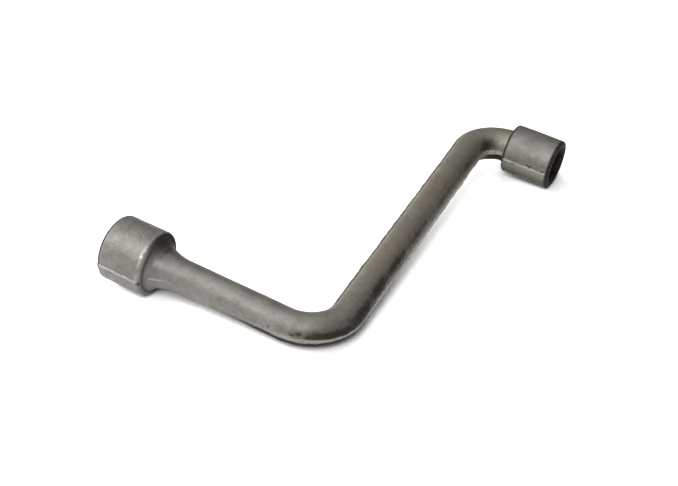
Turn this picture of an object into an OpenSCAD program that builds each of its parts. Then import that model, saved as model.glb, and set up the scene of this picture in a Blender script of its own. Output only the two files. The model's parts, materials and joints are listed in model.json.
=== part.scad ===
// Z-shaped lug wrench: a round forged bar bent twice in one plane, with a
// large nut socket on one end and a small nut socket on the other. Each socket
// is pushed on a spigot turned on the bar and held by a ring of weld.
//
// Tool frame: the bar's centreline lies in the plane z = 0. X runs along the
// large arm towards the first corner, which is the tool origin. The rest pose
// at the end of the Hidden section then lays the tool down on z = 0.

/* [Handle bar] */
// Diameter of the round bar
bar_d = 16; // [14:0.5:18]
// Large socket's mouth to the first corner of the centreline
large_arm = 113.7; // [100:0.1:150]
// First corner to the second corner of the centreline
middle_arm = 204.3; // [150:0.1:280]
// Second corner of the centreline to the small socket's mouth
small_arm = 47.4; // [47.2:0.1:70]
// Angle that the bar turns through at each bend
bend_angle = 95; // [85:1:95]
// Centreline radius of the bend beside the large arm
large_bend_r = 20; // [16:0.5:24]
// Centreline radius of the bend beside the small socket
small_bend_r = 16.2; // [14:0.1:16.5]
// Extra radius of the bar round the bend beside the small socket
neck_swell = 1; // [0.6:0.1:1.2]
// Length over which the bar swells before that bend
neck_len = 22; // [10:1:40]
// Extra radius of the collar that butts against the small socket
collar_swell = 1.6; // [1.3:0.1:1.8]
// Growth in radius along the flare, up to the large socket
flare_swell = 3.5; // [2:0.1:4]
// Length of the flare behind the large socket
flare_len = 14; // [10:0.5:20]

/* [Parting line] */
// Thickness of the trimmed flash across the parting plane
flash_t = 1.8; // [1:0.1:3]
// Height of the trimmed flash over the forged surface
flash_h = 0.4; // [0.2:0.1:0.8]

/* [Large socket] */
// Outside diameter of the large socket
large_od = 31.8; // [30:0.1:36]
// Overall length of the large socket
large_len = 24; // [24:0.5:32]
// Width across the flats of the large hexagon
large_af = 20.9; // [19:0.1:22]
// Depth of the large hexagon
large_hex_depth = 14; // [12:0.5:16]
// Diameter of the hole that clears the end of the wheel stud
large_stud_d = 14.5; // [13.5:0.5:16]
// Depth of the wheel stud's hole behind the hexagon
large_stud_depth = 4.5; // [3:0.5:5]
// Rounding of the large socket's mouth
large_mouth_round = 2.2; // [1:0.1:2.5]
// Rounding of the large socket's shoulder
large_back_round = 2.7; // [1:0.1:3]

/* [Small socket] */
// Outside diameter of the small socket
small_od = 27.2; // [26:0.1:30]
// Overall length of the small socket
small_len = 27.6; // [27:0.1:28]
// Width across the flats of the small hexagon
small_af = 17.7; // [16:0.1:18.5]
// Depth of the small hexagon
small_hex_depth = 13; // [11:0.5:15]
// Diameter of the hole that clears the end of the stud
small_stud_d = 12.5; // [11.5:0.5:14]
// Depth of the stud's hole behind the hexagon
small_stud_depth = 7; // [4:0.5:7]
// Rounding of the small socket's mouth
small_mouth_round = 1.3; // [0.5:0.1:1.5]
// Rounding of the small socket's shoulder
small_back_round = 1.5; // [0.5:0.1:2]

/* [Joint between bar and socket] */
// Diameter of the spigot in the large socket
large_spigot_d = 13; // [11:0.5:13]
// Diameter of the spigot in the small socket
small_spigot_d = 11; // [9:0.5:11]
// Radial clearance of each spigot in its hole
spigot_gap = 0.05; // [0.02:0.01:0.1]
// Leg of each weld ring, along the bar and up the socket's back face
weld_leg = 1.5; // [1:0.1:1.6]

/* [Hidden] */

$fn = 96;
bend_step = 0.1;      // how far each bend, flare and neck stands proud of the length it joins
seam = 0.5;           // how far each length of the bar reaches into the next one
weld_land = 1.6;      // straight length behind the large socket, which its weld sits on
weld_toe = 0.25;      // thickness of a weld ring's edges
spigot_lead = 0.6;    // chamfer on the end of each spigot
mouth_lead = 1.2;     // depth of the 45 degree cone that leads a nut into a hexagon
lead_margin = 0.3;    // how far that cone's mouth clears the hexagon's corners
drill_cone = 1.2;     // depth of the cone between a stud's hole and the spigot's hole
flash_bury = 1;       // how deep a flash strip reaches into its socket

bar_r = bar_d / 2;
large_r = large_od / 2;
small_r = small_od / 2;
neck_r = bar_r + neck_swell;
collar_r = bar_r + collar_swell;
flare_r = bar_r + flare_swell;
large_spigot_len = large_len - large_hex_depth - large_stud_depth - drill_cone;
small_spigot_len = small_len - small_hex_depth - small_stud_depth - drill_cone;

// Centreline: corners, the ends of each bend, and the mouths
middle_dir = [cos(bend_angle), sin(bend_angle), 0];
second_corner = middle_arm * middle_dir;
large_mouth = [-large_arm, 0, 0];
small_mouth = second_corner + [small_arm, 0, 0];
large_bend_len = large_bend_r * tan(bend_angle / 2);
small_bend_len = small_bend_r * tan(bend_angle / 2);
large_bend_centre = [-large_bend_len, large_bend_r, 0];
small_bend_centre = second_corner + [small_bend_len, -small_bend_r, 0];
large_back_x = -large_arm + large_len;
small_back_x = small_mouth.x - small_len;
small_bend_end_x = second_corner.x + small_bend_len;

// Arc that flares the bar out to the large socket, level with the bar at its end
flare_rise = flare_swell - bend_step;
flare_arc_r = (pow(flare_len, 2) + pow(flare_rise, 2)) / (2 * flare_rise);

// Rest pose. The tool lies on three points: the large socket's shoulder, the
// outside of the first bend and the rim of the small socket's mouth. `sx` and
// `sy` are the sines of the tilt about Y and X, and each turn of the recursion
// brings the three contact heights closer together.
settle_turns = 24;
large_contact_x = large_back_x - large_back_round;
small_contact_x = small_mouth.x - small_mouth_round;
function cosine(s) = sqrt(1 - s * s);
function large_drop(sx) = (large_r - large_back_round) * cosine(sx) + large_back_round;
function small_drop(sx) = (small_r - small_mouth_round) * cosine(sx) + small_mouth_round;
function bend_drop(sx, sy) =
    large_bend_r * sqrt(sx * sx + pow(cosine(sx) * sy, 2)) + bar_r + bend_step;
function next_sx(sx, sy) =
    (large_drop(sx) - bend_drop(sx, sy) + cosine(sx) * sy * large_bend_centre.y)
    / (large_bend_centre.x - large_contact_x);
function next_sy(sx) =
    (sx * (small_contact_x - large_contact_x) - large_drop(sx) + small_drop(sx))
    / (cosine(sx) * small_mouth.y);
function settle(turns, sx = 0, sy = 0) =
    turns == 0 ? [sx, sy] : settle(turns - 1, next_sx(sx, sy), next_sy(sx));
lean = settle(settle_turns);
sx = lean[0];
sy = lean[1];
cx = cosine(sx);
cy = cosine(sy);

// Box of the tilted tool, so that the origin is under its middle, on the floor
box_low_x = -(large_arm - large_mouth_round) * cx
    - (large_r - large_mouth_round) * sx - large_mouth_round;
box_high_x = (small_mouth.x - small_mouth_round) * cx + small_mouth.y * sx * sy
    + (small_r - small_mouth_round) * sx + small_mouth_round;
flash_lean = flash_t / 2 * abs(sy);
box_low_y = -(large_r + flash_h) * cy - flash_lean;
box_high_y = (small_mouth.y + small_r + flash_h) * cy + flash_lean;
rest_lift = sx * large_contact_x + large_drop(sx);

module at_rest() {
    translate([-(box_low_x + box_high_x) / 2, -(box_low_y + box_high_y) / 2, rest_lift])
        rotate([asin(sy), asin(sx), 0])
            children();
}

// Puts a shape made along +Z, with its mouth at z = 0, at each end of the tool
module at_large_mouth() {
    translate(large_mouth) rotate([0, 90, 0]) children();
}

module at_small_mouth() {
    translate(small_mouth) rotate([0, -90, 0]) children();
}

// Puts a shape made along +Z at point a, pointing along dir in the plane z = 0
module along(a, dir) {
    translate(a) rotate([0, 0, atan2(dir.y, dir.x)]) rotate([0, 90, 0]) children();
}

// ---- Handle bar ----

// Straight length of bar from radius r1 to radius r2, with flash on both sides
module length_of_bar(length, r1, r2) {
    cylinder(r1 = r1, r2 = r2, h = length);
    rotate([90, 0, 0]) rotate([0, 90, 0]) linear_extrude(flash_t, center = true)
        polygon([[-r1 - flash_h, 0], [r1 + flash_h, 0], [r2 + flash_h, length], [-r2 - flash_h, length]]);
}

// Half profile of the flare, from the weld land down to the bar: axial
// position upwards and radius to the right
module flare_profile(over = 0) {
    difference() {
        square([flare_r + over, flare_len]);
        translate([flare_r - flare_rise + flare_arc_r, flare_len])
            circle(r = flare_arc_r - over, $fn = 240);
    }
}

module flare() {
    rotate_extrude() flare_profile();
    for (side = [0, 180])
        rotate([90, 0, 90 + side]) linear_extrude(flash_t, center = true) flare_profile(flash_h);
}

module large_end() {
    translate([large_back_x, 0, 0]) rotate([0, 90, 0]) {
        translate([0, 0, weld_land]) flare();
        cylinder(r = flare_r, h = weld_land);
    }
    translate([large_back_x, 0, 0]) rotate([0, -90, 0]) spigot(large_spigot_d / 2, large_spigot_len);
}

module spigot(r, length) {
    translate([0, 0, -seam]) cylinder(r = r, h = length - spigot_lead + seam);
    translate([0, 0, length - spigot_lead])
        cylinder(r1 = r, r2 = r - spigot_lead, h = spigot_lead);
}

// Bend of the bar by bend_angle, with its flash, from the direction -Y round towards +X
module bend(turn_r, r) {
    rotate_extrude(angle = bend_angle) translate([turn_r, 0]) {
        circle(r = r);
        translate([-r - flash_h, -flash_t / 2]) square([2 * (r + flash_h), flash_t]);
    }
}

module small_end() {
    land = small_back_x - small_bend_end_x;
    rise = collar_r - neck_r;
    translate([small_bend_end_x, small_mouth.y, 0]) rotate([0, 90, 0]) {
        translate([0, 0, -seam]) cylinder(r = neck_r, h = land);
        cylinder(r1 = neck_r + 2 * bend_step, r2 = collar_r, h = rise);
        translate([0, 0, rise]) cylinder(r = collar_r, h = land - rise);
    }
    translate([small_back_x, small_mouth.y, 0]) rotate([0, 90, 0])
        spigot(small_spigot_d / 2, small_spigot_len);
}

module handle_bar() {
    first_start = large_back_x + weld_land;
    first_len = -large_bend_len - first_start;
    middle_len = middle_arm - large_bend_len - small_bend_len;
    color([0.47, 0.45, 0.42]) {
        large_end();
        along([first_start, 0, 0], [1, 0, 0]) length_of_bar(first_len + seam, bar_r, bar_r);
        translate(large_bend_centre) rotate([0, 0, -90]) bend(large_bend_r, bar_r + bend_step);
        along((large_bend_len - seam) * middle_dir, middle_dir)
            length_of_bar(middle_len + 2 * seam, bar_r, bar_r);
        along((large_bend_len + middle_len - neck_len) * middle_dir, middle_dir)
            length_of_bar(neck_len + seam, bar_r + bend_step, neck_r);
        translate(small_bend_centre) rotate([0, 0, 90]) bend(small_bend_r, neck_r + bend_step);
        small_end();
    }
}

// ---- Sockets ----

// Half profile of a socket with a rounded mouth and a rounded shoulder
module socket_profile(r, length, mouth_round, back_round) {
    square([r - max(mouth_round, back_round), length]);
    square([r - mouth_round, length / 2]);
    translate([0, length / 2]) square([r - back_round, length / 2]);
    translate([0, mouth_round]) square([r, length - mouth_round - back_round]);
    translate([r - mouth_round, mouth_round]) circle(r = mouth_round);
    translate([r - back_round, length - back_round]) circle(r = back_round);
}

// Flash along both sides of a socket, which lies in the tool's parting plane
module socket_flash(r, length, mouth_round, back_round) {
    for (side = [-1, 1])
        translate([-flash_t / 2, side > 0 ? r - flash_bury : -r - flash_h, mouth_round])
            cube([flash_t, flash_bury + flash_h, length - mouth_round - back_round]);
}

module hexagon(af, depth) {
    rotate([0, 0, 30]) cylinder(r = af / sqrt(3), h = depth, $fn = 6);
}

// Everything that is cut out of a socket, from its mouth to its back face
module socket_hollow(af, hex_depth, stud_r, stud_depth, bore_r, length) {
    lead_r = af / sqrt(3) + lead_margin;
    translate([0, 0, -1]) hexagon(af, hex_depth + 1);
    translate([0, 0, -1]) cylinder(r1 = lead_r + 1, r2 = lead_r - mouth_lead, h = mouth_lead + 1);
    cylinder(r = stud_r, h = hex_depth + stud_depth);
    translate([0, 0, hex_depth + stud_depth]) cylinder(r1 = stud_r, r2 = bore_r, h = drill_cone);
    cylinder(r = bore_r, h = length + 1);
}

module socket(r, length, mouth_round, back_round, af, hex_depth, stud_r, stud_depth, bore_r) {
    difference() {
        union() {
            rotate_extrude() socket_profile(r, length, mouth_round, back_round);
            socket_flash(r, length, mouth_round, back_round);
        }
        socket_hollow(af, hex_depth, stud_r, stud_depth, bore_r, length);
    }
}

module large_socket() {
    color([0.52, 0.51, 0.49])
        at_large_mouth()
            socket(large_r, large_len, large_mouth_round, large_back_round, large_af, large_hex_depth,
                   large_stud_d / 2, large_stud_depth, large_spigot_d / 2 + spigot_gap);
}

module small_socket() {
    color([0.52, 0.51, 0.48])
        at_small_mouth()
            socket(small_r, small_len, small_mouth_round, small_back_round, small_af, small_hex_depth,
                   small_stud_d / 2, small_stud_depth, small_spigot_d / 2 + spigot_gap);
}

// ---- Welds ----

// Ring of weld with a hollow face, in the corner between the bar and a
// socket's back face
module weld_ring(r, leg) {
    rotate_extrude() translate([r, 0]) difference() {
        square(leg);
        translate([leg, leg]) circle(r = leg - weld_toe);
    }
}

module large_socket_weld() {
    color([0.40, 0.37, 0.34])
        translate([large_back_x, 0, 0]) rotate([0, 90, 0]) weld_ring(flare_r, weld_leg);
}

module small_socket_weld() {
    color([0.40, 0.37, 0.34])
        translate([small_back_x, small_mouth.y, 0]) rotate([0, -90, 0]) weld_ring(collar_r, weld_leg);
}

at_rest() handle_bar();
at_rest() large_socket();
at_rest() small_socket();
at_rest() large_socket_weld();
at_rest() small_socket_weld();
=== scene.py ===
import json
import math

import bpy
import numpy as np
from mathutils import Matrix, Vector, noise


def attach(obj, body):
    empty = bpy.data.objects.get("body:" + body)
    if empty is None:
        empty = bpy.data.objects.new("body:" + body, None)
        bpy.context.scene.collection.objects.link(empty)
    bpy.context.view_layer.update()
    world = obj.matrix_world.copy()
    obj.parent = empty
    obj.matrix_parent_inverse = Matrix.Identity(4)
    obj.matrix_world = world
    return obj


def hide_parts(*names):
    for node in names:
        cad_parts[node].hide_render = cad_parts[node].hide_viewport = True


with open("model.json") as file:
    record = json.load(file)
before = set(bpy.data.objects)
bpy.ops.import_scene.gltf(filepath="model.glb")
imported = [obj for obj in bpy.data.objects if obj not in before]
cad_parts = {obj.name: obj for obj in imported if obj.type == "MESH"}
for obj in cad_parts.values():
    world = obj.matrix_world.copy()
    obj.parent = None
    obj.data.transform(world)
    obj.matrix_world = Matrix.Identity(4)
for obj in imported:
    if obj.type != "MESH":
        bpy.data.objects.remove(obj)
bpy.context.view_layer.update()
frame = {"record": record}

# Z-shaped lug wrench: a forged bar with a nut socket on each end, lying on a pale
# floor. Every CAD node is replaced by a mesh with the surface of a real forging:
# the trimmed flash of the parting line, uneven walls, pits, wear on the edges and lumpy
# welds. Their colours also carry painted shade and shadow, and a painted highlight on the
# large socket's shoulder. Lengths are millimetres in the tool's own frame until `to_row` turns
# them into metres in the row frame. The tool's plane is z = 0 there, x runs along
# the large arm towards the first corner of the centreline, which is the origin.

MM = 0.001

# ---- Driving dimensions, the same as the CAD model's ----

BAR_R = 8.0
LARGE_ARM = 113.7
MIDDLE_ARM = 204.3
SMALL_ARM = 47.4
BEND = math.radians(95)
LARGE_BEND_R = 20.0
SMALL_BEND_R = 17.9
FLARE_SWELL = 3.5
FLARE_LEN = 14.6
NECK_SWELL = 1.6
NECK_LEN = 52.0
SPIGOT_LEAD = 0.6
MOUTH_LEAD = 1.2
LEAD_MARGIN = 0.3
DRILL_CONE = 1.2
SPIGOT_GAP = 0.05
WELD_LEG = 1.5
WELD_BURY = 0.15

# Nicks by the sockets' parting line: distance from the mouth, degrees from the top,
# half length, half width
LARGE_NICKS = [(23.4, 98, 1.0, 1.5), (9.0, 96, 0.9, 0.4)]
SMALL_NICKS = [(11.3, 85, 2.0, 0.5), (3.6, 86, 1.2, 0.4), (20.5, 93, 0.9, 0.5)]

# Per socket, besides its sizes: how strong the painted shade is at the back seam, underneath and on the far
# side, how far the mouth's dark rim of rust and painted shade reaches, and the wear with a painted
# highlight on the shoulder
LARGE = dict(nicks=LARGE_NICKS, r=15.9, length=24.0, af=20.9, hex_depth=14.0, stud_r=7.25, stud_depth=4.5,
             mouth_round=2.2, back_round=2.7, spigot_r=6.5, seam_shade=0.10, olive=0.0, wear_and_highlight=0.9,
             under=0.45, far=0.35, rusty=0.15, rim=2.0, parting=-0.6)
SMALL = dict(nicks=SMALL_NICKS, r=13.6, length=27.6, af=17.7, hex_depth=13.0, stud_r=6.25, stud_depth=7.0,
             mouth_round=1.3, back_round=1.5, spigot_r=5.5, seam_shade=1.10, olive=1.0, wear_and_highlight=0.0,
             under=0.85, far=0.70, rusty=1.0, rim=2.0, parting=0.0)

# ---- Forging detail ----

BAR_FLASH_RISE = 0.16   # height of the trimmed flash over the bar
SOCKET_FLASH_HALF = 0.5 # half width of the trimmed flash on the sockets
SOCKET_FLASH_RISE = 0.30
FLASH_EDGE = 0.16       # width of the step at the flash's edges
DIE_SHIFT = 0.12        # how far the lower die's half stands out on the near side
BAR_WOBBLE = 0.09       # slow unevenness of the bar's radius
BAR_LUMPS = 0.04        # shorter lumps on the bar
SOCKET_WOBBLE = 0.10    # the same two on the sockets
SOCKET_LUMPS = 0.055
SOCKET_DIE_SHIFT = 1.4 * DIE_SHIFT
NICK_DEPTH = 0.45
WELD_LUMPS = 0.14

# Trimmed flash along the bar: length from the large socket, half width, and how bare the trim left it
BAR_FLASH = [(0, 0.4, 0.70), (9, 0.4, 0.45), (14, 0.4, 0.10), (55, 0.6, 0.08), (66, 0.9, 0.15),
             (73, 1.2, 0.42), (80, 1.0, 0.52), (88, 0.7, 0.62), (104, 0.6, 0.80), (114, 1.2, 0.90),
             (122, 1.6, 0.90), (200, 1.7, 0.85), (262, 1.5, 0.70), (276, 1.4, 1.0), (294, 1.3, 0.9)]
# Parting line along the bar: length from the large socket, height over the parting plane
BAR_PARTING = [(0, -0.4), (4, 0.0), (10, 0.9), (16, 0.4), (30, 0.0)]
# Share by which the lower half of the bar is flattened, along the bar
LOWER_FLAT = [(4, 0.0), (16, 0.10), (40, 0.13), (76, 0.14), (92, 0.18), (116, 0.18), (128, 0.08),
              (142, 0.0), (280, 0.0), (288, 0.12), (295, 0.12)]
# Painted shade under the flash, along the bar
BELOW_FLASH = [(20, 0.0), (45, 0.35), (62, 0.95), (112, 1.0), (124, 0.8), (136, 0.35), (270, 0.35),
               (280, 1.0)]
PARTING_WANDER = 0.28   # how far the parting line strays from the parting plane
MOUTH_RUST = 3.0        # how far rust reaches in from a socket's mouth

# Bands of painted shade round a section, in degrees from the top: where each starts and over how many
# degrees it grows
UNDER_FLASH_BAND = (96, 5)
BAR_FAR_BAND = (34, 18)
BAR_FAR_DARK = 0.75
SOCKET_FAR_BAND = (18, 20)
# Stretches round a section: centre in degrees from the top, half width, and power of the fall-off
# The first two place painted shadow behind the top of each socket's back and over the top of each weld, the
# third a painted highlight on the socket's shoulder
BEHIND_TOP = (-28, 58, 4)
WELD_TOP = (-26, 54, 4)
SHOULDER_HIGHLIGHT = (43, 11, 2)

BAR_SIDES = 168
BAR_STEP = 0.6
SOCKET_SIDES = 216
SOCKET_STEP = 0.5
WELD_SIDES = 144
WELD_STEPS = 14
SHARP_ANGLE = math.radians(50)
FLASH_CROWDING = 0.62   # how strongly the mesh's sides crowd towards the flash


# ---- The tool's frame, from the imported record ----

def mount(name):
    return next(m for m in frame["record"]["mounts"] if m["name"] == name)


def tool_to_row():
    """Matrix from tool millimetres to row metres, found from the two nut sockets' places and directions."""
    large, small = mount("large_nut_socket"), mount("small_nut_socket")
    mouth = Vector(large["pos_m"])
    x = -Vector(large["axis"]).normalized()
    z = x.cross(Vector(small["pos_m"]) - mouth).normalized()
    y = z.cross(x)
    turn = Matrix((x, y, z)).transposed()
    corner = mouth + x * (LARGE_ARM * MM)
    return Matrix.Translation(corner) @ turn.to_4x4() @ Matrix.Scale(MM, 4)


TOOL_TO_ROW = tool_to_row()


def to_row(points):
    """Row-frame metres for an array of tool-frame millimetres."""
    m = np.array(TOOL_TO_ROW)
    return points @ m[:3, :3].T + m[:3, 3]


# ---- Noise ----

def noise_field(points, size, seed, octaves=2):
    """Smooth noise, about -1 to 1, at each point of an (..., 3) array. `size` is in millimetres."""
    shape = points.shape[:-1]
    flat = points.reshape(-1, 3) / size + np.array([17.3, -4.1, 8.7]) * seed
    values = [noise.fractal(Vector(p), 0.7, 2.1, octaves) for p in flat]
    return np.array(values).reshape(shape)


def noise_line(s, size, seed, octaves=2):
    """Smooth noise along a length `s` in millimetres."""
    return noise_field(np.stack([s, np.zeros_like(s), np.zeros_like(s)], -1), size, seed, octaves)


def smooth_step(x):
    x = np.clip(x, 0.0, 1.0)
    return x * x * (3 - 2 * x)


def degrees_from_top(angle):
    """Degrees round a section from its top, positive towards the near side."""
    return np.degrees(np.arctan2(-np.cos(angle), np.sin(angle)))


def far_band(from_top, start, soft):
    """0 up to `start` degrees down the far side, and 1 from `soft` degrees further on."""
    return smooth_step((-start - from_top) / soft)


def stretch(from_top, centre, half_width, power):
    """1 in the middle of a stretch round a section, falling to 0 outside it."""
    return np.exp(-((from_top - centre) / half_width) ** power)


# ---- Mesh building ----

def crowded_angles(sides):
    """Angles round a section, crowded towards 0 and 180 degrees, where the flash is."""
    even = np.arange(sides) * 2 * math.pi / sides
    return even - FLASH_CROWDING * np.sin(2 * even) / 2


def snapped(angles, targets):
    """The same angles, with the nearest one moved onto each target."""
    angles = angles.copy()
    for target in targets:
        gap = np.abs((angles - target + math.pi) % (2 * math.pi) - math.pi)
        angles[gap.argmin()] = target
    return angles


def put_in_scene(name, data):
    """A new object for a mesh, a light or a camera."""
    thing = bpy.data.objects.new(name, data)
    bpy.context.scene.collection.objects.link(thing)
    return thing


def ring_faces(rings, sides, closed):
    """Quads between neighbouring rings, and from the last ring to the first where closed."""
    faces = []
    for i in range(rings if closed else rings - 1):
        low, high = i * sides, ((i + 1) % rings) * sides
        for k in range(sides):
            after = (k + 1) % sides
            faces.append((low + k, high + k, high + after, low + after))
    return faces


def ring_object(name, rings, closed, masks, material, node):
    """Puts a piece in place of a CAD node; `rings` (ring, side, xyz) are in tool millimetres."""
    count, sides = rings.shape[:2]
    vertices = rings.reshape(-1, 3)
    faces = ring_faces(count, sides, closed)
    if not closed:
        vertices = np.concatenate([vertices, [rings[0].mean(0), rings[-1].mean(0)]])
        first, last = count * sides, count * sides + 1
        end = (count - 1) * sides
        for k in range(sides):
            after = (k + 1) % sides
            faces.append((first, k, after))
            faces.append((last, end + after, end + k))
    mesh = bpy.data.meshes.new(name)
    mesh.from_pydata(to_row(vertices).tolist(), [], faces)
    for mask, values in masks.items():
        full = np.zeros(len(vertices), np.float32)
        full[:count * sides] = values.reshape(-1)
        mesh.attributes.new(mask, "FLOAT", "POINT").data.foreach_set("value", full)
    mesh.update()
    mesh.shade_smooth()
    mesh.set_sharp_from_angle(angle=SHARP_ANGLE)
    mesh.materials.append(material)
    piece = put_in_scene(name, mesh)
    outward(mesh)
    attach(piece, "root")
    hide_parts(node)
    return piece


def outward(mesh):
    """Turns the faces round if they point inwards."""
    count = len(mesh.vertices)
    co = np.empty(count * 3, np.float32)
    mesh.vertices.foreach_get("co", co)
    co = co.reshape(-1, 3).astype(float)
    mesh.calc_loop_triangles()
    tri = np.empty(len(mesh.loop_triangles) * 3, np.int32)
    mesh.loop_triangles.foreach_get("vertices", tri)
    a, b, c = (co[tri.reshape(-1, 3)[:, i]] for i in range(3))
    if np.einsum("ij,ij->i", a, np.cross(b, c)).sum() < 0:
        mesh.flip_normals()


# ---- Flash along the parting line ----

def table(rows, s, column=1):
    """A column of a table whose first column is a length, read off at each length s."""
    return np.interp(s, [row[0] for row in rows], [row[column] for row in rows])


def flash(across, sagitta, along, seed, half, rise):
    """How far the flash lifts the surface, and its mask.

    `across` is the distance above or below the parting plane, `sagitta` how far the round section falls
    away from its widest point there, and `along` the distance along the tool. The trim leaves a flat land.
    Its upper and lower edges wander on their own, and its height drops out where the trim tore it away.
    """
    across = across - PARTING_WANDER * noise_line(along, 7, seed + 6)[:, None]
    upper = half * (1 + 0.30 * noise_line(along, 6, seed) + 0.30 * noise_line(along, 1.7, seed + 1))
    lower = half * (1 + 0.30 * noise_line(along, 7, seed + 2) + 0.30 * noise_line(along, 1.9, seed + 3))
    height = rise * (0.85 + 0.4 * noise_line(along, 9, seed + 4) + 0.8 * noise_line(along, 1.5, seed + 5))
    height = np.clip(height, 0.05, None)
    side = np.where(across >= 0, upper[:, None], lower[:, None]) - np.abs(across)
    mask = smooth_step(side / FLASH_EDGE + 0.5)
    lip = 0.35 * np.exp(-((side - 0.1) / 0.16) ** 2)
    return mask * (height[:, None] * (1 + lip) + sagitta), mask


def both_flashes(across, parting, sagitta, along, near, seeds, half, rise):
    """Lift and mask of both sides' flash; the near side's lies `parting` above the parting plane."""
    rise_far, mask_far = flash(across, sagitta, along, seeds[0], half, rise)
    rise_near, mask_near = flash(across - parting, sagitta, along, seeds[1], half, rise)
    return np.where(near, rise_near, rise_far), np.where(near, mask_near, mask_far)


# ---- Handle bar ----

LARGE_BEND_LEN = LARGE_BEND_R * math.tan(BEND / 2)
SMALL_BEND_LEN = SMALL_BEND_R * math.tan(BEND / 2)
# Length and curvature of each run of the bar
BAR_RUNS = [
    (LARGE_ARM - LARGE["length"] - LARGE_BEND_LEN, 0),
    (LARGE_BEND_R * BEND, 1 / LARGE_BEND_R),
    (MIDDLE_ARM - LARGE_BEND_LEN - SMALL_BEND_LEN, 0),
    (SMALL_BEND_R * BEND, -1 / SMALL_BEND_R),
    (SMALL_ARM - SMALL["length"] - SMALL_BEND_LEN, 0),
]
BAR_LEN = sum(run[0] for run in BAR_RUNS)


def centreline(s):
    """Point and heading of the bar's centreline at length s from the large socket's back face."""
    x, y, heading = LARGE["length"] - LARGE_ARM, 0.0, 0.0
    left = s
    for i, (length, curvature) in enumerate(BAR_RUNS):
        last = i == len(BAR_RUNS) - 1
        step = left if last else min(left, length)
        if curvature:
            turned = heading + step * curvature
            x += (math.sin(turned) - math.sin(heading)) / curvature
            y += (math.cos(heading) - math.cos(turned)) / curvature
            heading = turned
        else:
            x += step * math.cos(heading)
            y += step * math.sin(heading)
        left -= step
        if left <= 0:
            break
    return x, y, heading


def spigot_length(socket):
    return socket["length"] - socket["hex_depth"] - socket["stud_depth"] - DRILL_CONE


def bar_radius(s):
    flare = FLARE_SWELL * np.clip(1 - s / FLARE_LEN, 0, 1) ** 2
    neck = NECK_SWELL * np.clip(1 - (BAR_LEN - s) / NECK_LEN, 0, 1) ** 2
    return BAR_R + flare + neck


def radius_from_small_end(u):
    return bar_radius(BAR_LEN - u)


def bar_stations():
    """(length, radius, weight of the surface detail) of every ring, from spigot end to spigot end."""
    rows = []
    for socket, at, way in ((LARGE, 0.0, -1), (SMALL, BAR_LEN, 1)):
        reach, r = spigot_length(socket), socket["spigot_r"]
        lead = [(at + way * reach, r - SPIGOT_LEAD), (at + way * (reach - SPIGOT_LEAD), r)]
        wall = [(at + way * d, r) for d in np.arange(reach - 1.4, 0.3, -0.8)] + [(at, r)]
        rings = [(s, radius, 0.0) for s, radius in lead + wall]
        face = [(at, radius, 0.0) for radius in np.linspace(r, float(bar_radius(np.array(at))), 6)[1:]]
        rows.append(rings + face)
    inner = np.linspace(0, BAR_LEN, int(BAR_LEN / BAR_STEP))[1:-1]
    body = [(s, float(bar_radius(s)), 1.0) for s in inner]
    return rows[0] + body + rows[1][::-1]


# Forging pits on the bar: length along it, degrees from the top towards the near side, radius, depth
BAR_PITS = [(73.5, 75, 0.9, 0.35), (75.5, 69, 1.1, 0.40), (78.5, 77, 1.0, 0.35), (64.0, 76, 0.7, 0.25),
            (96.0, 66, 0.9, 0.20), (131.0, 58, 1.0, 0.18), (170.0, 44, 1.2, 0.18), (214.0, 35, 1.0, 0.15),
            (33.0, 40, 1.0, 0.12), (47.0, 20, 1.2, 0.10), (150.0, -20, 1.4, 0.10), (188.0, 10, 1.0, 0.10)]

# Painted shade on the bar: length along it, degrees from the top, its spread in both, strength
BAR_SHADE = [(88, 74, 13, 22, 1.0), (103, 62, 14, 27, 1.0), (122, 55, 15, 22, 1.0),
             (142, 54, 20, 18, 0.85), (170, 56, 26, 15, 0.65), (207, 58, 28, 15, 0.60),
             (242, 58, 24, 16, 0.60), (273, 64, 11, 26, 0.85), (1, -10, 5, 38, 0.85)]


def bar_pits(s, radius, from_top):
    """Depth of the forging pits at each point of the bar."""
    pits = np.zeros((len(s), len(from_top)))
    for at, degrees, size, depth in BAR_PITS:
        reach = np.hypot(s[:, None] - at, radius[:, None] * np.radians(from_top - degrees)[None, :])
        pits += smooth_step(1.3 - reach / size) * depth
    return pits


def bar_shade(s, from_top):
    """Painted shade: the patches of BAR_SHADE, the band under the flash and the far side."""
    shade = np.zeros((len(s), len(from_top)))
    for at, degrees, spread, turn, strength in BAR_SHADE:
        blot = np.exp(-((s[:, None] - at) / spread) ** 2 - ((from_top[None, :] - degrees) / turn) ** 2)
        shade = np.maximum(shade, strength * blot)
    start, soft = UNDER_FLASH_BAND
    under_flash = smooth_step((np.abs(from_top) - start) / soft)[None, :] * table(BELOW_FLASH, s)[:, None]
    far_side = BAR_FAR_DARK * far_band(from_top, *BAR_FAR_BAND)[None, :]
    return np.maximum(np.maximum(shade, under_flash), far_side)


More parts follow.
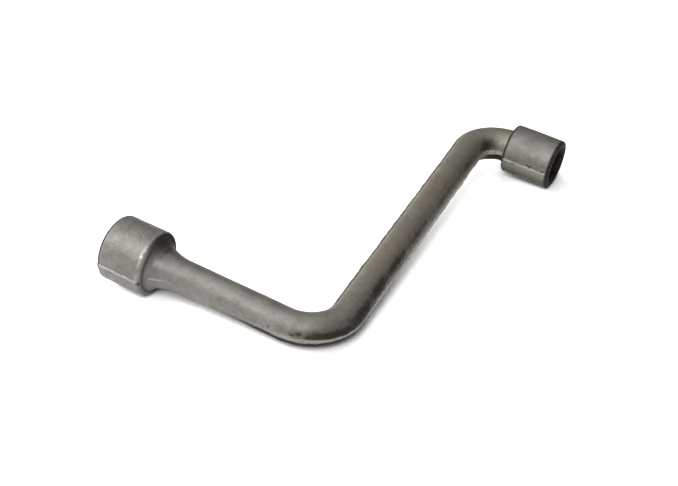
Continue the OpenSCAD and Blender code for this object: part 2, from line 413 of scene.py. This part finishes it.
def make_handle_bar(material):
    s, radius, weight = (np.array(column) for column in zip(*bar_stations()))
    fade = weight * smooth_step(s / 2.0) * smooth_step((BAR_LEN - s) / 1.2)
    path = np.array([centreline(v) for v in s])
    side_dir = np.stack([-np.sin(path[:, 2]), np.cos(path[:, 2]), np.zeros_like(s)], -1)
    up = np.array([0.0, 0.0, 1.0])
    spine = np.stack([path[:, 0], path[:, 1], np.zeros_like(s)], -1)

    angle = crowded_angles(BAR_SIDES)
    from_top = degrees_from_top(angle)
    near = (np.cos(angle) < 0)[None, :]
    spoke = np.cos(angle)[None, :, None] * side_dir[:, None, :] + np.sin(angle)[None, :, None] * up
    skin = spine[:, None, :] + spoke * radius[:, None, None]
    slow = noise_field(skin, 16, 3, 2)
    short = noise_field(skin, 3.2, 5, 3)
    lift = fade[:, None] * (BAR_WOBBLE * slow + BAR_LUMPS * short)
    pits = bar_pits(s, radius, from_top)

    across = radius[:, None] * np.sin(angle)[None, :]
    sagitta = radius[:, None] * (1 - np.abs(np.cos(angle)))[None, :]
    parting = table(BAR_PARTING, s)[:, None]
    half = table(BAR_FLASH, s)
    ridge, mask = both_flashes(across, parting, sagitta, s, near, (11, 23), half, BAR_FLASH_RISE)
    ridge, mask = ridge * fade[:, None], mask * fade[:, None]

    skin = skin + spoke * (lift - pits)[:, :, None]
    skin[..., 2] *= 1 - table(LOWER_FLAT, s)[:, None] * (np.sin(angle) < 0)
    lower_half = smooth_step(0.5 - across / 0.3)
    sideways = np.where(near, -1.0, 1.0) * ridge - DIE_SHIFT * lower_half * fade[:, None]
    skin = skin + side_dir[:, None, :] * sideways[:, :, None]

    masks = {"flash": mask * table(BAR_FLASH, s, 2)[:, None],
             "patina": smooth_step((s - 60) / 70)[:, None] + np.zeros_like(lift),
             # painted shade in the pits
             "pit_shade": np.clip(pits * 3, 0, 1),
             # painted shade on the bar
             "shade": np.clip(bar_shade(s, from_top) * (1 - mask), 0, 1)}
    return ring_object("handle_bar_forging", skin, False, masks, material, "handle_bar")


# ---- Sockets ----

def hexagon_radius(af, angle):
    """Radius of the hexagon's wall in a direction; two corners lie in the parting plane."""
    from_flat = (angle % math.radians(60)) - math.radians(30)
    return af / 2 / np.cos(from_flat)


def arc(centre_t, centre_r, radius, start, end, steps):
    """Points (t, r) of an arc; the angle is measured from the outward radius towards the back face."""
    return [(centre_t + radius * math.sin(a), centre_r + radius * math.cos(a))
            for a in np.linspace(math.radians(start), math.radians(end), steps)]


def socket_rings(d, angle):
    """Axial position and radius of each ring round a socket's skin, and the weight of its forged detail."""
    wall_end = d["length"] - d["back_round"]
    lead_r = d["af"] / math.sqrt(3) + LEAD_MARGIN
    bore_r = d["spigot_r"] + SPIGOT_GAP
    bottom = d["hex_depth"] + d["stud_depth"]
    hexagon = hexagon_radius(d["af"], angle)
    rings = []

    def add(t, r, weight):
        rings.append((np.full_like(angle, t), np.zeros_like(angle) + r, weight))

    for r in np.linspace(lead_r, d["r"] - d["mouth_round"], 6)[:-1]:
        add(0.0, r, 0.15)
    for t, r in arc(d["mouth_round"], d["r"] - d["mouth_round"], d["mouth_round"], -90, 0, 12):
        add(t, r, 0.3 + 0.7 * t / d["mouth_round"])
    wall_rings = int((wall_end - d["mouth_round"]) / SOCKET_STEP)
    for t in np.linspace(d["mouth_round"], wall_end, wall_rings)[1:-1]:
        add(t, d["r"], 1.0)
    for t, r in arc(wall_end, d["r"] - d["back_round"], d["back_round"], 0, 90, 14):
        add(t, r, 1.0 - 0.6 * (t - wall_end) / d["back_round"])
    for r in np.linspace(d["r"] - d["back_round"], bore_r, 12)[1:]:
        add(d["length"], r, 0.1 if r > bore_r + 1 else 0.0)
    for t in np.arange(d["length"] - 1.0, bottom + DRILL_CONE, -1.0):
        add(t, bore_r, 0.0)
    add(bottom + DRILL_CONE, bore_r, 0.0)
    for t in np.linspace(bottom, d["hex_depth"], 5):
        add(t, d["stud_r"], 0.0)
    for blend in (0.25, 0.5, 0.75, 1.0):
        add(d["hex_depth"], d["stud_r"] + (hexagon - d["stud_r"]) * blend, 0.0)
    for t in np.arange(d["hex_depth"] - 0.8, MOUTH_LEAD + 0.8, -0.8):
        add(t, hexagon, 0.2)
    for t in np.linspace(MOUTH_LEAD + 0.8, 0.0, 14)[:-1]:
        add(t, np.maximum(hexagon, lead_r - t), 0.2)
    return rings


def socket_nicks(d, along, from_top, outside):
    """How deep each point lies in one of the socket's nicks, 0 to 1."""
    nicks = np.zeros_like(outside)
    for at, degrees, long, wide in d["nicks"]:
        aside = d["r"] * np.radians(from_top - degrees)[None, :]
        reach = np.hypot((along[:, None] - at) / long, aside / wide)
        nicks = np.maximum(nicks, smooth_step(1.4 - reach) * outside)
    return nicks


def socket_masks(d, along, across, spoke_z, from_top, outside):
    """Where the socket is rusty and olive, where its shoulder shows wear with a painted highlight, and
    where painted shade darkens it.
    """
    to_back = along - d["length"]
    mouth = np.exp(-(along / MOUTH_RUST) ** 2)[:, None] * outside
    shoulder = np.exp(-((to_back + d["back_round"] * 0.6) / (d["back_round"] * 0.35)) ** 2)[:, None]
    # Wear on the shoulder, with a painted highlight in a stretch at about 43 degrees from the top
    wear_with_highlight = 0.3 + 0.7 * stretch(from_top, *SHOULDER_HIGHLIGHT)[None, :]
    inside = (1.0 - outside) * (to_back < -1)[:, None]
    # Dark rim at the mouth: rust with painted shade over it
    rim = smooth_step((d["rim"] - along) / 0.7)[:, None]
    # Painted shade in the crease at the back, and painted shadow behind the top
    seam = smooth_step((to_back + d["back_round"] * d["seam_shade"]) / 0.5)[:, None]
    behind = smooth_step((to_back + d["back_round"] * 0.75) / 1.2)[:, None]
    behind_top = stretch(from_top, *BEHIND_TOP)[None, :] * behind
    # Painted shade underneath and on the far side
    underneath = d["under"] * smooth_step(-spoke_z / 0.6)
    far_side = d["far"] * far_band(from_top, *SOCKET_FAR_BAND)
    return {"mouth": d["rusty"] * mouth,
            "edge": d["wear_and_highlight"] * shoulder * wear_with_highlight * outside,
            "hollow": np.clip(inside + rim, 0, 1),
            "lower": d["olive"] * smooth_step(0.5 - across / 1.2) * outside,
            "under": np.maximum(underneath, far_side) * outside,
            "back": np.clip(np.maximum(seam, behind_top), 0, 1)}


def make_socket(name, d, mouth_x, mouth_y, inward, material, seed):
    """A socket whose mouth is at (mouth_x, mouth_y) and whose back lies `inward` (+1 or -1) along x."""
    angle = snapped(crowded_angles(SOCKET_SIDES), np.radians(np.arange(0, 360, 60)))
    from_top = degrees_from_top(angle)
    near = (np.cos(angle) < 0)[None, :]
    t, r, weight = (np.array(column) for column in zip(*socket_rings(d, angle)))
    spoke_y, spoke_z = np.cos(angle)[None, :], np.sin(angle)[None, :]
    skin = np.stack([mouth_x + inward * t, mouth_y + r * spoke_y, r * spoke_z], -1)
    slow = noise_field(skin, 11, seed, 2)
    short = noise_field(skin, 2.6, seed + 1, 3)
    lift = weight[:, None] * (SOCKET_WOBBLE * slow + SOCKET_LUMPS * short)

    outside = (r > d["r"] - 0.6 * max(d["mouth_round"], d["back_round"])).astype(float)
    along = t[:, 0]
    across = r * spoke_z
    sagitta = r * (1 - np.abs(spoke_y))
    fade = smooth_step((along - 0.3) / 1.2) * smooth_step((d["length"] - 0.2 - along) / 1.4)
    fade = fade[:, None] * outside
    half = np.full(len(along), SOCKET_FLASH_HALF)
    ridge, mask = both_flashes(across, d["parting"], sagitta, along, near, (seed + 2, seed + 8), half,
                               SOCKET_FLASH_RISE)
    ridge, mask = ridge * fade, mask * fade
    shift = -SOCKET_DIE_SHIFT * smooth_step(0.5 - across / 0.3) * fade * np.abs(spoke_y) ** 0.5
    nicks = socket_nicks(d, along, from_top, outside)
    skin[..., 1] += lift * spoke_y + np.where(near, -1.0, 1.0) * ridge + shift
    skin[..., 2] += lift * spoke_z
    skin[..., 1] -= NICK_DEPTH * nicks * spoke_y
    skin[..., 2] -= NICK_DEPTH * nicks * spoke_z

    masks = socket_masks(d, along, across, spoke_z, from_top, outside)
    masks.update({"flash": 0.75 * mask, "nick": nicks})
    return ring_object(name + "_forging", skin, True, masks, material, name)


# ---- Welds ----

def weld_profile(reach):
    """A weld's section (u along the bar, v above it) and how many of its points precede the fillet."""
    curve = np.linspace(0, math.pi / 2, WELD_STEPS)
    lead = [(-WELD_BURY, WELD_LEG * part) for part in (0.3, 0.7, 1.0)]
    fillet = list(zip(reach * (1 - np.cos(curve)), WELD_LEG * (1 - np.sin(curve))))
    sunk = [(reach - 0.1, -WELD_BURY), (reach * 0.5, -WELD_BURY), (-WELD_BURY, -WELD_BURY)]
    return np.array(lead + fillet + sunk), len(lead)


def make_weld(name, centre_x, centre_y, inward, bar_r, reach, dark, material, seed):
    """A lumpy fillet in the corner between the bar and a socket's back face at centre_x.

    `bar_r` gives the bar's radius at a distance from that face, `reach` is how far the fillet runs out
    along the bar, and `dark` is how dark the painted shade in its toe against the socket is.
    """
    angle = np.arange(WELD_SIDES) * 2 * math.pi / WELD_SIDES
    from_top = degrees_from_top(angle)
    profile, lead = weld_profile(reach)
    u, v = profile[:, :1], profile[:, 1:]
    face = np.zeros(len(profile))
    face[lead:lead + WELD_STEPS] = np.sin(np.linspace(0, math.pi, WELD_STEPS))
    toe = np.clip(1.2 - np.arange(len(profile)) / (lead + WELD_STEPS * 0.35), 0, 1)
    r = bar_r(u) + v + np.zeros((1, WELD_SIDES))
    skin = np.stack([centre_x + inward * (u + np.zeros((1, WELD_SIDES))), centre_y + r * np.cos(angle),
                     r * np.sin(angle)], -1)
    push = face[:, None] * WELD_LUMPS * noise_field(skin, 2.4, seed, 2)
    skin[..., 0] += inward * push * 0.5
    skin[..., 1] += push * 0.8 * np.cos(angle)
    skin[..., 2] += push * 0.8 * np.sin(angle)
    # Painted shadow over the weld's top and painted shade in its toe against the socket
    over_top = stretch(from_top, *WELD_TOP)[None, :] * (1 - 0.35 * smooth_step(u / reach))
    weld_shade = np.maximum(dark * toe[:, None], 0.9 * over_top)
    return ring_object(name + "_bead", skin, True, {"weld_shade": weld_shade}, material, name)


# ---- Materials ----

class Shader:
    """A material's node tree, with short calls for the nodes that forged steel needs."""

    def __init__(self, name):
        self.material = bpy.data.materials.new(name)
        self.material.use_nodes = True
        self.tree = self.material.node_tree
        self.bsdf = self.tree.nodes["Principled BSDF"]
        self.coords = self.tree.nodes.new("ShaderNodeTexCoord").outputs["Object"]

    def put(self, socket, value):
        if isinstance(value, bpy.types.NodeSocket):
            self.tree.links.new(value, socket)
        else:
            socket.default_value = value

    def noise(self, size, detail=3.0, roughness=0.55, distortion=0.0):
        """Noise with lumps of about `size` millimetres, 0 to 1."""
        node = self.tree.nodes.new("ShaderNodeTexNoise")
        self.tree.links.new(self.coords, node.inputs["Vector"])
        self.put(node.inputs["Scale"], 1 / (size * MM))
        self.put(node.inputs["Detail"], detail)
        self.put(node.inputs["Roughness"], roughness)
        self.put(node.inputs["Distortion"], distortion)
        return node.outputs["Fac"]

    def cells(self, size):
        """Distance to the middle of the nearest cell of about `size` millimetres."""
        node = self.tree.nodes.new("ShaderNodeTexVoronoi")
        self.tree.links.new(self.coords, node.inputs["Vector"])
        self.put(node.inputs["Scale"], 1 / (size * MM))
        return node.outputs["Distance"]

    def mask(self, name):
        """A value that the mesh carries at every point."""
        node = self.tree.nodes.new("ShaderNodeAttribute")
        node.attribute_name = name
        return node.outputs["Fac"]

    def ramp(self, value, low, high, out_low=0.0, out_high=1.0):
        """Smooth step of a value from `low` to `high`."""
        node = self.tree.nodes.new("ShaderNodeMapRange")
        node.interpolation_type = "SMOOTHSTEP"
        self.put(node.inputs["Value"], value)
        self.put(node.inputs["From Min"], low)
        self.put(node.inputs["From Max"], high)
        self.put(node.inputs["To Min"], out_low)
        self.put(node.inputs["To Max"], out_high)
        return node.outputs["Result"]

    def math(self, operation, a, b=0.0):
        node = self.tree.nodes.new("ShaderNodeMath")
        node.operation = operation
        node.use_clamp = operation in ("ADD", "SUBTRACT", "MULTIPLY")
        self.put(node.inputs[0], a)
        self.put(node.inputs[1], b)
        return node.outputs[0]

    def mix(self, amount, a, b):
        """Colour a turned into colour b by `amount`."""
        node = self.tree.nodes.new("ShaderNodeMix")
        node.data_type = "RGBA"
        self.put(node.inputs["Factor"], amount)
        self.put(node.inputs["A"], a if isinstance(a, bpy.types.NodeSocket) else (*a, 1.0))
        self.put(node.inputs["B"], b if isinstance(b, bpy.types.NodeSocket) else (*b, 1.0))
        return node.outputs["Result"]

    def bump(self, height, distance, normal=None):
        """Bump `distance` millimetres high, on top of another bump's normal where one is given."""
        node = self.tree.nodes.new("ShaderNodeBump")
        self.put(node.inputs["Strength"], 1.0)
        self.put(node.inputs["Distance"], distance * MM)
        self.tree.links.new(height, node.inputs["Height"])
        if normal is not None:
            self.tree.links.new(normal, node.inputs["Normal"])
        return node.outputs["Normal"]

    def finish(self, colour, roughness, normal, metallic, specular):
        self.put(self.bsdf.inputs["Base Color"], colour)
        self.put(self.bsdf.inputs["Roughness"], roughness)
        self.put(self.bsdf.inputs["Normal"], normal)
        self.put(self.bsdf.inputs["Metallic"], metallic)
        self.put(self.bsdf.inputs["Specular IOR Level"], specular)
        return self.material


# Linear colours, then how metallic and how glossy all the steel is
SCALE_GREY = (0.112, 0.105, 0.097)
SCALE_DARK = (0.069, 0.063, 0.057)
OLIVE_SCALE = (0.124, 0.115, 0.090)
UMBER_SCALE = (0.098, 0.082, 0.064)
WARM_STEEL = (0.187, 0.1775, 0.151)
BARE_STEEL = (0.250, 0.240, 0.212)
# Bright steel of the shoulder's wear and its painted highlight
POLISH_AND_HIGHLIGHT_STEEL = (0.40, 0.39, 0.36)
RUST = (0.090, 0.046, 0.028)
DARK_RUST = (0.045, 0.028, 0.020)
# Colour of the painted shade on the bar
PAINTED_SHADE_DARK = (0.016, 0.013, 0.010)
# Near black: painted shade in pits, nicks, creases, under the sockets and over the welds, and soot inside
# the sockets
SOOT_AND_PAINTED_SHADE = (0.009, 0.008, 0.007)
FLOOR_LIGHT = (0.96, 0.96, 0.96)
FLOOR_DARK = (0.94, 0.94, 0.94)
METALLIC = 0.50
SPECULAR = 0.3


def forged_base(shader, light, dark):
    """Mill scale: two greys in soft clouds, with a fine grain over them."""
    clouds = shader.ramp(shader.noise(7, 4, 0.6, 0.4), 0.22, 0.78)
    colour = shader.mix(clouds, dark, light)
    grain = shader.ramp(shader.noise(0.9, 3, 0.65), 0.36, 0.66)
    colour = shader.mix(shader.math("MULTIPLY", grain, 0.5), colour, light)
    fleck = shader.ramp(shader.noise(0.8, 2, 0.6), 0.64, 0.76)
    return shader.mix(shader.math("MULTIPLY", fleck, 0.28), colour, BARE_STEEL)


def forged_surface(shader):
    """Bump of the scale: soft dimples, a pebbled grain and sparse pits."""
    dimples = shader.bump(shader.noise(3.6, 2, 0.5), 0.15)
    pebbles = shader.bump(shader.noise(1.1, 4, 0.6), 0.12, normal=dimples)
    pits = shader.ramp(shader.cells(2.4), 0.05, 0.22)
    return shader.bump(pits, 0.04, normal=pebbles)


def bar_material():
    shader = Shader("forged_bar_steel")
    grey = forged_base(shader, SCALE_GREY, SCALE_DARK)
    brown = forged_base(shader, OLIVE_SCALE, UMBER_SCALE)
    colour = shader.mix(shader.math("MULTIPLY", shader.mask("patina"), 0.75), grey, brown)
    rust = shader.ramp(shader.noise(2.2, 4, 0.7), 0.62, 0.74)
    colour = shader.mix(shader.math("MULTIPLY", rust, 0.25), colour, RUST)
    # Painted shade where the shade mask lies, with ragged edges; it is also rougher there
    ragged = shader.ramp(shader.noise(2.6, 4, 0.65), 0.30, 0.70, -0.14, 0.14)
    darkened = shader.ramp(shader.math("ADD", shader.mask("shade"), ragged), 0.02, 0.90)
    colour = shader.mix(darkened, colour, PAINTED_SHADE_DARK)
    bright = shader.ramp(shader.noise(1.4, 3, 0.6), 0.30, 0.62, 0.25, 1.0)
    colour = shader.mix(shader.math("MULTIPLY", shader.mask("flash"), bright), colour, BARE_STEEL)
    # Painted shade in the pits
    colour = shader.mix(shader.math("MULTIPLY", shader.mask("pit_shade"), 0.85), colour, SOOT_AND_PAINTED_SHADE)
    rough = shader.ramp(shader.noise(3.0, 3), 0.3, 0.7, 0.46, 0.58)
    rough = shader.math("ADD", rough, shader.math("MULTIPLY", darkened, 0.35))
    return shader.finish(colour, rough, forged_surface(shader), METALLIC, SPECULAR)


def socket_material():
    shader = Shader("forged_socket_steel")
    colour = forged_base(shader, SCALE_GREY, SCALE_DARK)
    olive = shader.math("MULTIPLY", shader.mask("lower"), 0.5)
    colour = shader.mix(olive, colour, WARM_STEEL)
    rust = shader.ramp(shader.noise(1.9, 4, 0.7), 0.52, 0.66)
    near_mouth = shader.ramp(shader.math("ADD", shader.mask("mouth"), 0.12), 0.0, 1.0)
    colour = shader.mix(shader.math("MULTIPLY", rust, near_mouth), colour, RUST)
    # Wear on the shoulder, with a painted highlight
    streak_noise = shader.ramp(shader.noise(2.5, 3), 0.35, 0.6, 0.2, 0.9)
    wear_and_highlight = shader.math("MULTIPLY", shader.mask("edge"), streak_noise)
    colour = shader.mix(wear_and_highlight, colour, POLISH_AND_HIGHLIGHT_STEEL)
    bright = shader.ramp(shader.noise(1.2, 3, 0.6), 0.35, 0.6, 0.15, 1.0)
    colour = shader.mix(shader.math("MULTIPLY", shader.mask("flash"), bright), colour, BARE_STEEL)
    # Painted shade underneath and on the far side
    colour = shader.mix(shader.mask("under"), colour, SOOT_AND_PAINTED_SHADE)
    # Painted shade and shadow at the back face
    colour = shader.mix(shader.math("MULTIPLY", shader.mask("back"), 0.95), colour, SOOT_AND_PAINTED_SHADE)
    # Painted shade in the nicks
    colour = shader.mix(shader.math("MULTIPLY", shader.mask("nick"), 0.9), colour, SOOT_AND_PAINTED_SHADE)
    # Dark rust and soot inside the socket; on the mouth's rim the dark is partly painted shade
    colour = shader.mix(shader.mask("hollow"), colour, DARK_RUST)
    soot_and_shade = shader.ramp(shader.noise(1.0, 3, 0.6), 0.48, 0.66, 1.0, 0.3)
    colour = shader.mix(shader.math("MULTIPLY", shader.mask("hollow"), soot_and_shade), colour, SOOT_AND_PAINTED_SHADE)
    rough = shader.ramp(shader.noise(3.0, 3), 0.3, 0.7, 0.44, 0.56)
    # Rougher where painted shade darkens the back face and where the mouth is dark
    darkened = shader.math("ADD", shader.mask("back"), shader.mask("hollow"))
    rough = shader.math("ADD", rough, shader.math("MULTIPLY", darkened, 0.35))
    return shader.finish(colour, rough, forged_surface(shader), METALLIC, SPECULAR)


def weld_material():
    shader = Shader("weld_steel")
    colour = forged_base(shader, SCALE_GREY, SCALE_DARK)
    rust = shader.ramp(shader.noise(1.4, 3, 0.7), 0.58, 0.70)
    colour = shader.mix(shader.math("MULTIPLY", rust, 0.4), colour, RUST)
    # Painted shadow and shade on the weld, which is also rougher there
    colour = shader.mix(shader.mask("weld_shade"), colour, SOOT_AND_PAINTED_SHADE)
    rough = shader.ramp(shader.mask("weld_shade"), 0.3, 1.0, 0.52, 0.85)
    return shader.finish(colour, rough, shader.bump(shader.noise(0.8, 3), 0.08), METALLIC, SPECULAR)


def floor_material():
    shader = Shader("pale_floor")
    tint = shader.ramp(shader.noise(400, 1), 0.3, 0.7)
    colour = shader.mix(tint, FLOOR_DARK, FLOOR_LIGHT)
    shader.put(shader.bsdf.inputs["Base Color"], colour)
    shader.put(shader.bsdf.inputs["Roughness"], 0.9)
    shader.put(shader.bsdf.inputs["Specular IOR Level"], 0.1)
    return shader.material


# ---- Stage ----

VIEW_AZIMUTH = 26.703       # degrees from -Y towards +X
VIEW_ELEVATION = 32.254
VIEW_ROLL = 3.861
VIEW_DISTANCE = 0.6083
VIEW_TARGET = (0.01054, -0.03358, 0.01311)
VIEW_LENS = 66.64
SENSOR_WIDTH = 36
CLIP_START = 0.01
FLOOR_HALF = 4.0
AMBIENT = 0.03


def direction(azimuth, elevation):
    """Unit vector at an azimuth, in degrees from -Y towards +X, and an elevation in degrees."""
    azimuth, elevation = math.radians(azimuth), math.radians(elevation)
    return Vector((math.sin(azimuth) * math.cos(elevation), -math.cos(azimuth) * math.cos(elevation),
                   math.sin(elevation)))


def make_camera():
    data = bpy.data.cameras.new("camera")
    data.lens = VIEW_LENS
    data.sensor_width = SENSOR_WIDTH
    data.clip_start = CLIP_START
    camera = put_in_scene("camera", data)
    back = direction(VIEW_AZIMUTH, VIEW_ELEVATION)
    turn = back.to_track_quat("Z", "Y").to_matrix() @ Matrix.Rotation(math.radians(VIEW_ROLL), 3, "Z")
    camera.matrix_world = Matrix.Translation(Vector(VIEW_TARGET) + back * VIEW_DISTANCE) @ turn.to_4x4()
    bpy.context.scene.camera = camera


def make_floor():
    corners = [(x * FLOOR_HALF, y * FLOOR_HALF, 0) for x, y in ((-1, -1), (1, -1), (1, 1), (-1, 1))]
    mesh = bpy.data.meshes.new("floor")
    mesh.from_pydata(corners, [], [(0, 1, 2, 3)])
    mesh.materials.append(floor_material())
    floor = put_in_scene("floor", mesh)


# Azimuth (from -Y towards +X) and elevation in degrees, side of the square in metres, watts
SOFTBOXES = [("left_softbox", -75, 27, 1.4, 50),
             ("key_softbox", -45, 45, 0.6, 8),
             ("front_softbox", 15, 45, 0.6, 18),
             ("top_softbox", 0, 90, 0.6, 7),
             ("back_softbox", 165, 45, 0.6, 1)]
SOFTBOX_DISTANCE = 1.3


def softbox(name, azimuth, elevation, size, watts):
    data = bpy.data.lights.new(name, "AREA")
    data.shape = "SQUARE"
    data.size = size
    data.energy = watts
    away = direction(azimuth, elevation)
    turn = away.to_track_quat("Z", "Y").to_matrix().to_4x4()
    put_in_scene(name, data).matrix_world = Matrix.Translation(away * SOFTBOX_DISTANCE) @ turn


def make_lights():
    for name, azimuth, elevation, size, watts in SOFTBOXES:
        softbox(name, azimuth, elevation, size, watts)
    world = bpy.data.worlds.new("studio")
    world.use_nodes = True
    background = world.node_tree.nodes["Background"]
    background.inputs["Color"].default_value = (1.0, 1.0, 1.0, 1.0)
    background.inputs["Strength"].default_value = AMBIENT
    bpy.context.scene.world = world
    bpy.context.scene.view_settings.view_transform = "Standard"


# ---- The tool ----

make_camera()
make_floor()
make_lights()

bar_steel, socket_steel, weld_steel = bar_material(), socket_material(), weld_material()
second_corner = (MIDDLE_ARM * math.cos(BEND), MIDDLE_ARM * math.sin(BEND))
small_mouth_x = second_corner[0] + SMALL_ARM
large_back_x = LARGE["length"] - LARGE_ARM
small_back_x = small_mouth_x - SMALL["length"]

make_handle_bar(bar_steel)
make_socket("large_socket", LARGE, -LARGE_ARM, 0.0, 1, socket_steel, 31)
make_socket("small_socket", SMALL, small_mouth_x, second_corner[1], -1, socket_steel, 47)
make_weld("large_socket_weld", large_back_x, 0.0, 1, bar_radius,
          reach=3.4, dark=0.7, material=weld_steel, seed=61)
make_weld("small_socket_weld", small_back_x, second_corner[1], -1, radius_from_small_end,
          reach=1.1, dark=1.0, material=weld_steel, seed=67)
